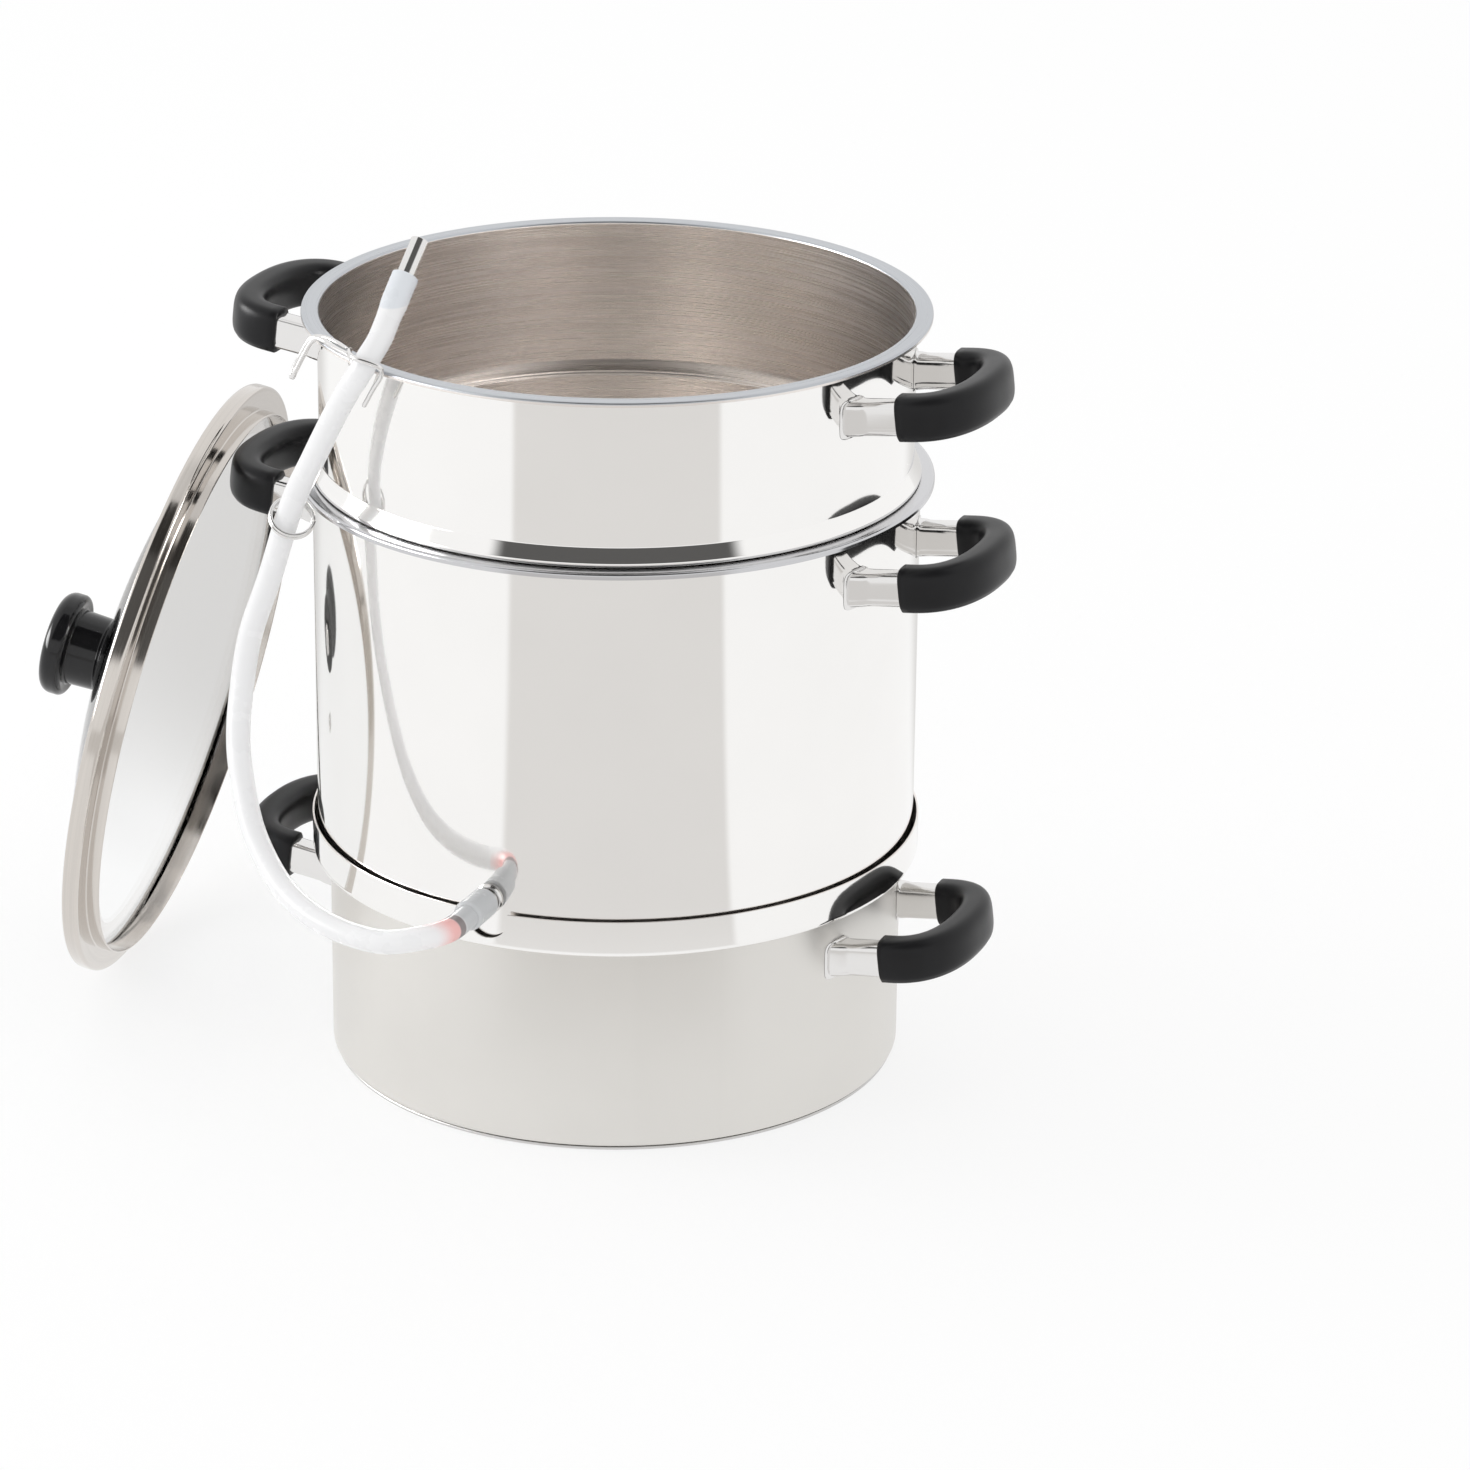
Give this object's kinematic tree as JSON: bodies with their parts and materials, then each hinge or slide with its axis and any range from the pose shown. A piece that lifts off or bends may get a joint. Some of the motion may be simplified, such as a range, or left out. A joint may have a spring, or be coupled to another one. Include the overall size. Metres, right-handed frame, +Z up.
{
  "type": "steam juicer",
  "caption": "Three-tier stainless steel steam juicer: water pot, juice pan with spout, perforated fruit basket, side handles, clipped silicone hose and a leaning domed glass lid.",
  "frame": {"origin": "centre of the water pot's flat underside", "axes": "+Z up along the vessels' common axis, handles along X, spout towards -Y, lid leaning on the -X side"},
  "size_m": [0.4639, 0.3285, 0.3929],
  "materials": {
    "phenolic": "satin black heat-proof moulding",
    "sleeve_steel": "bright polished sleeve",
    "bracket_steel": "polished welded foot",
    "pot_steel": "satin outside, brushed inside",
    "base_steel": "satin flat plate",
    "pan_steel": "mirror polished outside",
    "cone_steel": "satin",
    "spout_steel": "polished tube and weld ring",
    "hose_silicone": "milky translucent silicone",
    "wire_steel": "bright drawn wire",
    "basket_steel": "mirror polished outside, satin lip, brushed inside",
    "tube_steel": "polished tube",
    "lid_glass": "clear tempered glass",
    "band_steel": "satin band with a polished edge",
    "knob_black": "glossy black moulding",
    "seat_rubber": "thin black washer",
    "screw_steel": "polished screw head",
    "grommet_steel": "polished eyelet"
  },
  "bodies": {
    "water_pot": {"water_pot_body": "pot_steel", "water_pot_base_plate": "base_steel", "water_pot_left_grip": "phenolic", "water_pot_left_front_bracket": "bracket_steel", "water_pot_left_front_ferrule": "sleeve_steel", "water_pot_left_rear_bracket": "bracket_steel", "water_pot_left_rear_ferrule": "sleeve_steel", "water_pot_right_grip": "phenolic", "water_pot_right_front_bracket": "bracket_steel", "water_pot_right_front_ferrule": "sleeve_steel", "water_pot_right_rear_bracket": "bracket_steel", "water_pot_right_rear_ferrule": "sleeve_steel"},
    "juice_pan": {"juice_pan_body": "pan_steel", "steam_cone": "cone_steel", "spout_tube": "spout_steel", "spout_flange": "spout_steel", "hose": "hose_silicone", "hose_clamp": "wire_steel", "juice_pan_left_grip": "phenolic", "juice_pan_left_front_bracket": "bracket_steel", "juice_pan_left_front_ferrule": "sleeve_steel", "juice_pan_left_rear_bracket": "bracket_steel", "juice_pan_left_rear_ferrule": "sleeve_steel", "juice_pan_right_grip": "phenolic", "juice_pan_right_front_bracket": "bracket_steel", "juice_pan_right_front_ferrule": "sleeve_steel", "juice_pan_right_rear_bracket": "bracket_steel", "juice_pan_right_rear_ferrule": "sleeve_steel"},
    "basket": {"basket_body": "basket_steel", "outlet_tube": "tube_steel", "rim_clip": "wire_steel", "basket_left_grip": "phenolic", "basket_left_front_bracket": "bracket_steel", "basket_left_front_ferrule": "sleeve_steel", "basket_left_rear_bracket": "bracket_steel", "basket_left_rear_ferrule": "sleeve_steel", "basket_right_grip": "phenolic", "basket_right_front_bracket": "bracket_steel", "basket_right_front_ferrule": "sleeve_steel", "basket_right_rear_bracket": "bracket_steel", "basket_right_rear_ferrule": "sleeve_steel"},
    "lid": {"lid_glass": "lid_glass", "lid_rim_band": "band_steel", "lid_knob": "knob_black", "lid_knob_seat": "seat_rubber", "lid_knob_screw": "screw_steel", "lid_vent_grommet": "grommet_steel"}
  },
  "joints": [
    {"name": "juice_pan_lift", "type": "slide", "parent": "water_pot", "child": "juice_pan", "axis": [0, 0, 1], "range_m": [0, 0.12]},
    {"name": "basket_lift", "type": "slide", "parent": "juice_pan", "child": "basket", "axis": [0, 0, 1], "range_m": [0, 0.12], "deforming": ["hose"]},
    {"name": "lid_slide", "type": "slide", "parent": "juice_pan", "child": "lid", "axis": [-0.9593, -0.1813, 0.2166], "range_m": [0, 0.12]}
  ]
}
